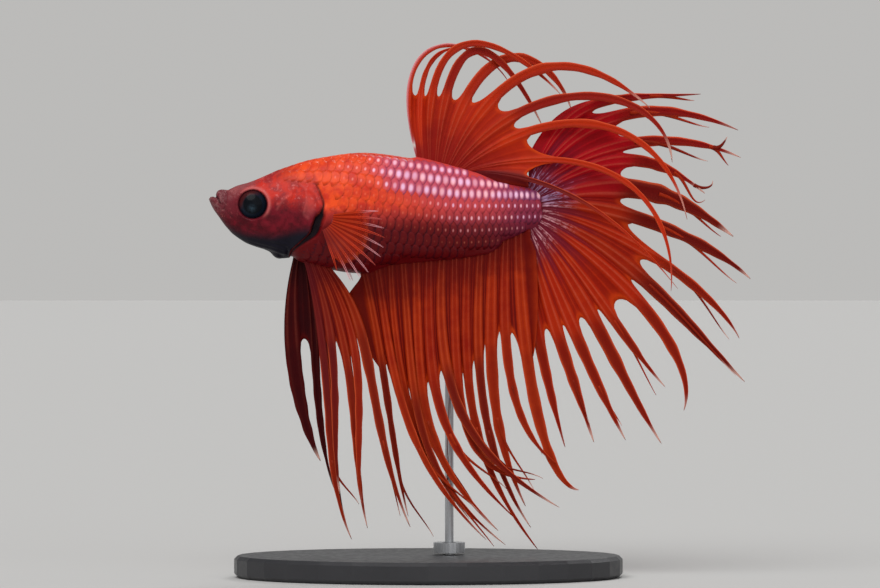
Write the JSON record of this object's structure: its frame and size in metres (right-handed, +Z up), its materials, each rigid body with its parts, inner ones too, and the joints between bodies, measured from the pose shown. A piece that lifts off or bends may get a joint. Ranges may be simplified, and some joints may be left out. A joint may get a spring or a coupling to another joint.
{
  "type": "model fish on a display stand",
  "caption": "Life-size still model of a crowntail fighting fish with long spiky fins, held on a thin rod above a flat oval base.",
  "frame": {"origin": "centre of the stand base's underside", "axes": "+Z up; the fish's head points to -X and its tail to +X; its left side, with the bent fin tips, faces -Y"},
  "size_m": [0.0755, 0.035, 0.0745],
  "materials": {
    "head_skin": "moist skin, dusky maroon with pinkish mottling",
    "throat_skin": "moist skin, blue-black",
    "scaled_skin": "moist scales, orange-red with pearly pink highlights towards the tail",
    "eye": "clear and very glossy, dark pupil in a thin dark iris",
    "fin": "moist membrane, orange-red with darker rays",
    "clear_fin": "thin membrane, half clear",
    "dark_fin": "moist membrane, dark maroon with a pale tip",
    "base_paint": "satin black paint on steel",
    "rod_steel": "brushed"
  },
  "bodies": {
    "root": {"head": "head_skin", "lower_jaw": "head_skin", "gill_cover_left": "head_skin", "gill_cover_right": "head_skin", "throat": "throat_skin", "trunk": "scaled_skin", "tail_stalk": "scaled_skin", "eye_left": "eye", "eye_right": "eye", "dorsal_fin": "fin", "anal_fin": "fin", "caudal_fin": "fin", "pectoral_fin_left": "clear_fin", "pectoral_fin_right": "clear_fin", "ventral_fin_left": "fin", "ventral_fin_right": "dark_fin", "stand_base": "base_paint", "stand_collar": "rod_steel", "stand_rod": "rod_steel"}
  },
  "joints": []
}
